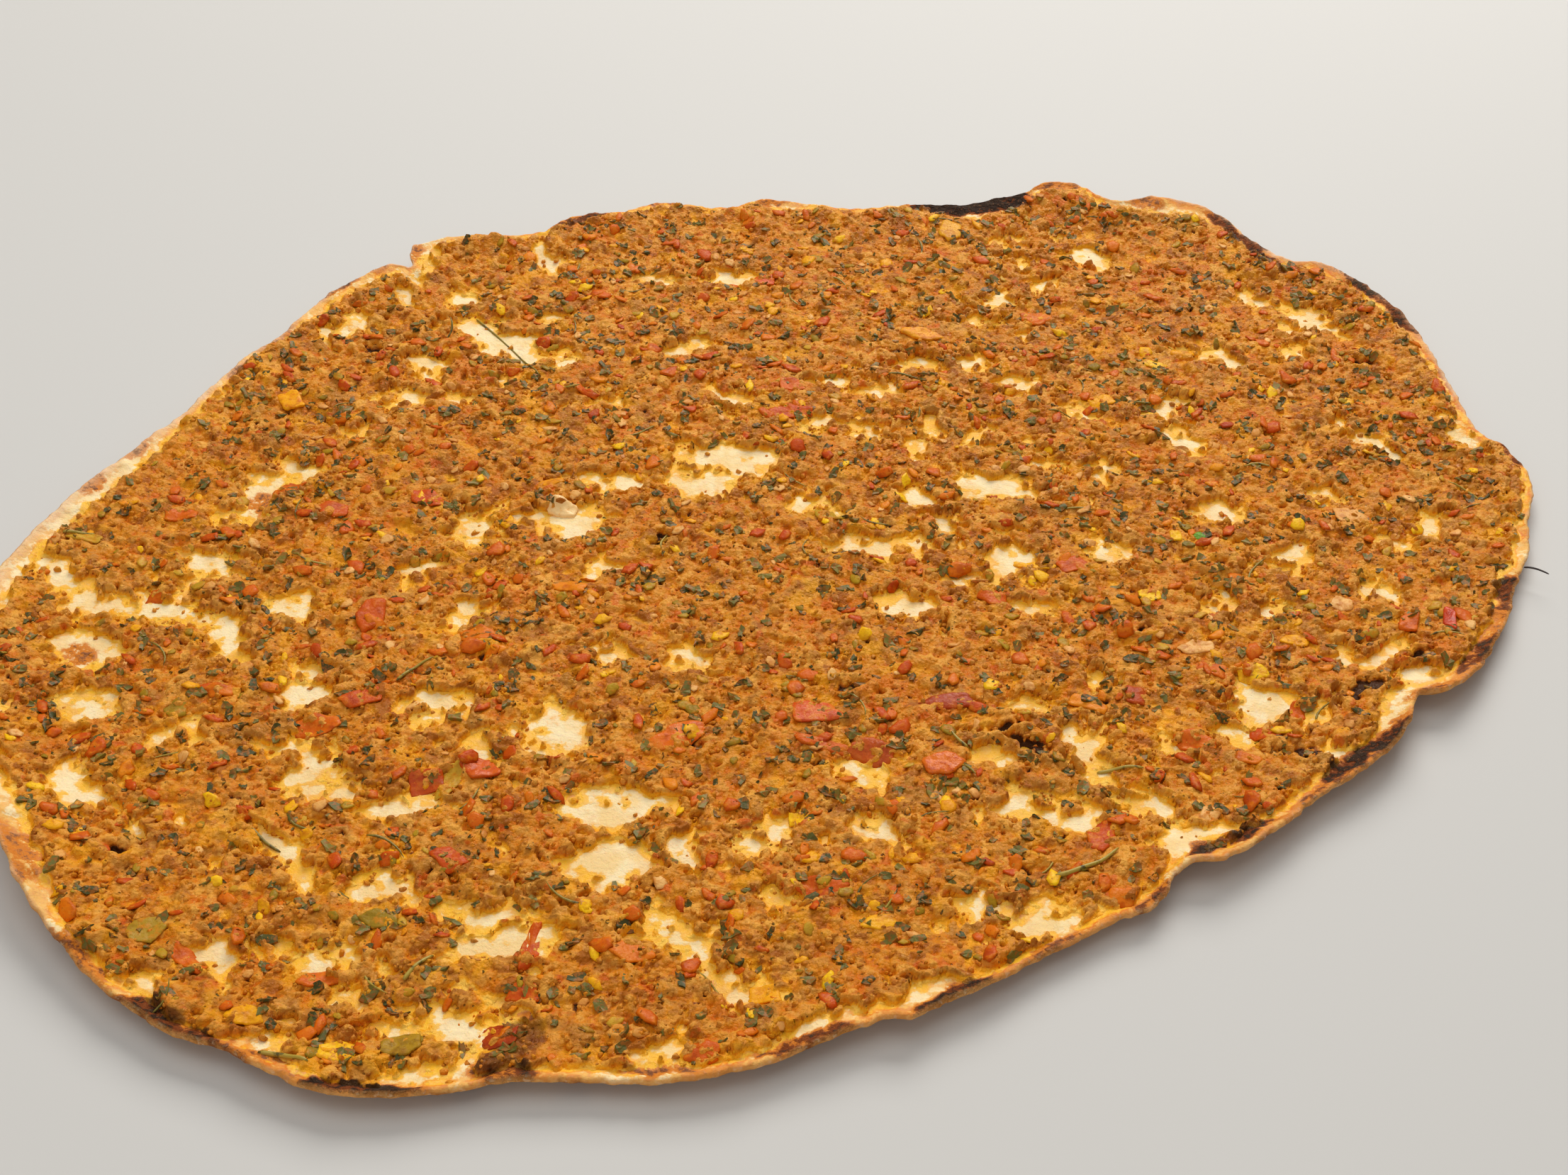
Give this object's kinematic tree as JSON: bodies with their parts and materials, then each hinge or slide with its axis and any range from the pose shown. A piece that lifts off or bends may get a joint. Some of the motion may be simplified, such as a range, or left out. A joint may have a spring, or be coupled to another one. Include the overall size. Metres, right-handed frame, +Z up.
{
  "type": "lahmacun",
  "caption": "Thin crisp oval flatbread with a torn, scorched rim that lifts off the table, under one thin spread of spiced minced meat with chopped pepper, tomato, onion and parsley.",
  "frame": {"origin": "on the table, under the middle of the outline's bounding box", "axes": "+Z up from the table; +X along the longer side of the outline's bounding box; +Y towards the torn, blackened stretch of the rim"},
  "size_m": [0.3228, 0.3028, 0.0086],
  "materials": {
    "bread": "matt, floury, scorched brown along the rim, stained orange by fat",
    "mince": "granular, with a thin film of fat",
    "yellow_pepper": "wet",
    "red_pepper": "wet",
    "tomato": "wet",
    "green_pepper": "wet",
    "onion": "wet, translucent"
  },
  "bodies": {
    "root": {"flatbread": "bread", "mince_spread": "mince", "yellow_pepper_left": "yellow_pepper", "yellow_pepper_far": "yellow_pepper", "yellow_pepper_centre": "yellow_pepper", "red_pepper_left": "red_pepper", "red_pepper_right": "red_pepper", "tomato_near_left": "tomato", "tomato_near": "tomato", "tomato_skin_right": "tomato", "green_pepper_near": "green_pepper", "onion_centre": "onion"}
  },
  "joints": []
}
